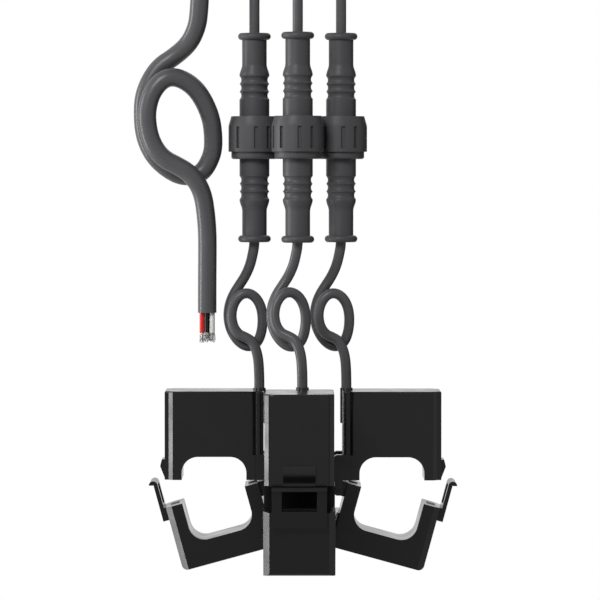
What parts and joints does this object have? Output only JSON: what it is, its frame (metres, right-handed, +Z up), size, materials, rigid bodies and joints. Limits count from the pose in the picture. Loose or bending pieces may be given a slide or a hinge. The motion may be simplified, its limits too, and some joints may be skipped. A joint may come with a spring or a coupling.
{
  "type": "energy monitor",
  "caption": "Wall-hung energy monitor: a weatherproof box with a bare-ended supply lead and plug-in split-core current clamps on short leads, each with an opening jaw",
  "frame": {"origin": "middle of the four wall screw holes, on the plane of the wall behind the box", "axes": "+Z up along the hanging leads, -Y out of the wall towards the viewer, +X to the viewer's right"},
  "size_m": [0.1329, 0.0872, 0.3677],
  "materials": {
    "case_plastic": "matte",
    "jaw_plastic": "matte",
    "connector_plastic": "satin",
    "cable_jacket": "matte",
    "seal_rubber": "matte",
    "housing_plastic": "matte",
    "gland_plastic": "matte",
    "steel": "brushed",
    "ferrite": "ground",
    "coil_tape": "satin",
    "contact_metal": "plated",
    "copper_tinned": "tinned",
    "core_red": "satin",
    "core_black": "satin",
    "core_white": "satin",
    "board_laminate": "satin",
    "module_plastic": "potted",
    "radio_shield": "brushed",
    "terminal_plastic": "satin",
    "light_acrylic": "clear",
    "button_plastic": "matte"
  },
  "bodies": {
    "monitor": {"housing_base": "housing_plastic", "housing_cover": "housing_plastic", "cover_gasket": "seal_rubber", "cover_screws": "steel", "circuit_board": "board_laminate", "power_module": "module_plastic", "radio_module": "radio_shield", "terminal_block": "terminal_plastic", "light_pipe": "light_acrylic", "gland_bodies": "gland_plastic", "gland_seals": "seal_rubber", "gland_nuts": "gland_plastic", "gland_locknuts": "gland_plastic", "supply_lead": "cable_jacket", "supply_core_red": "core_red", "supply_core_black": "core_black", "supply_core_white": "core_white", "supply_strands": "copper_tinned", "tail_left": "cable_jacket", "tail_middle": "cable_jacket", "tail_right": "cable_jacket", "socket_halves": "connector_plastic", "socket_contacts": "contact_metal"},
    "button": {"setup_button": "button_plastic"},
    "sensor_left": {"plug_left": "connector_plastic", "plug_seal_left": "seal_rubber", "plug_contacts_left": "contact_metal", "sensor_lead_left": "cable_jacket", "clamp_case_left": "case_plastic", "clamp_cover_left": "case_plastic", "clamp_core_left": "ferrite", "clamp_coil_left": "coil_tape", "hinge_pin_left": "steel"},
    "nut_left": {"coupling_nut_left": "connector_plastic"},
    "jaw_left": {"jaw_left": "jaw_plastic", "jaw_core_left": "ferrite"},
    "sensor_middle": {"plug_middle": "connector_plastic", "plug_seal_middle": "seal_rubber", "plug_contacts_middle": "contact_metal", "sensor_lead_middle": "cable_jacket", "clamp_case_middle": "case_plastic", "clamp_cover_middle": "case_plastic", "clamp_core_middle": "ferrite", "clamp_coil_middle": "coil_tape", "hinge_pin_middle": "steel"},
    "nut_middle": {"coupling_nut_middle": "connector_plastic"},
    "jaw_middle": {"jaw_middle": "jaw_plastic", "jaw_core_middle": "ferrite"},
    "sensor_right": {"plug_right": "connector_plastic", "plug_seal_right": "seal_rubber", "plug_contacts_right": "contact_metal", "sensor_lead_right": "cable_jacket", "clamp_case_right": "case_plastic", "clamp_cover_right": "case_plastic", "clamp_core_right": "ferrite", "clamp_coil_right": "coil_tape", "hinge_pin_right": "steel"},
    "nut_right": {"coupling_nut_right": "connector_plastic"},
    "jaw_right": {"jaw_right": "jaw_plastic", "jaw_core_right": "ferrite"}
  },
  "joints": [
    {"name": "setup_button_press", "type": "slide", "parent": "monitor", "child": "button", "axis": [0, 1, 0], "range_m": [0, 0.001], "stiffness_N_per_m": 800, "springref_m": -0.0005},
    {"name": "left_sensor_unplug", "type": "slide", "parent": "monitor", "child": "sensor_left", "axis": [0, 0, -1], "range_m": [0, 0.014]},
    {"name": "left_nut_turn", "type": "hinge", "parent": "sensor_left", "child": "nut_left", "pos_m": [-0.0058, -0.018, -0.1537], "axis": [0, 0, 1], "continuous": true},
    {"name": "left_jaw_hinge", "type": "hinge", "parent": "sensor_left", "child": "jaw_left", "pos_m": [-0.0009, -0.0169, -0.2832], "axis": [0, -1, 0], "range_deg": [-15.3, 22.7]},
    {"name": "middle_sensor_unplug", "type": "slide", "parent": "monitor", "child": "sensor_middle", "axis": [0, 0, -1], "range_m": [0, 0.014]},
    {"name": "middle_nut_turn", "type": "hinge", "parent": "sensor_middle", "child": "nut_middle", "pos_m": [0.0102, -0.03, -0.1537], "axis": [0, 0, 1], "continuous": true},
    {"name": "middle_jaw_hinge", "type": "hinge", "parent": "sensor_middle", "child": "jaw_middle", "pos_m": [0.0108, -0.0434, -0.2816], "axis": [1, 0, 0], "range_deg": [-14.3, 23.7]},
    {"name": "right_sensor_unplug", "type": "slide", "parent": "monitor", "child": "sensor_right", "axis": [0, 0, -1], "range_m": [0, 0.014]},
    {"name": "right_nut_turn", "type": "hinge", "parent": "sensor_right", "child": "nut_right", "pos_m": [0.0262, -0.018, -0.1537], "axis": [0, 0, 1], "continuous": true},
    {"name": "right_jaw_hinge", "type": "hinge", "parent": "sensor_right", "child": "jaw_right", "pos_m": [0.0251, -0.0191, -0.2832], "axis": [0, 1, 0], "range_deg": [-15.3, 22.7]}
  ]
}
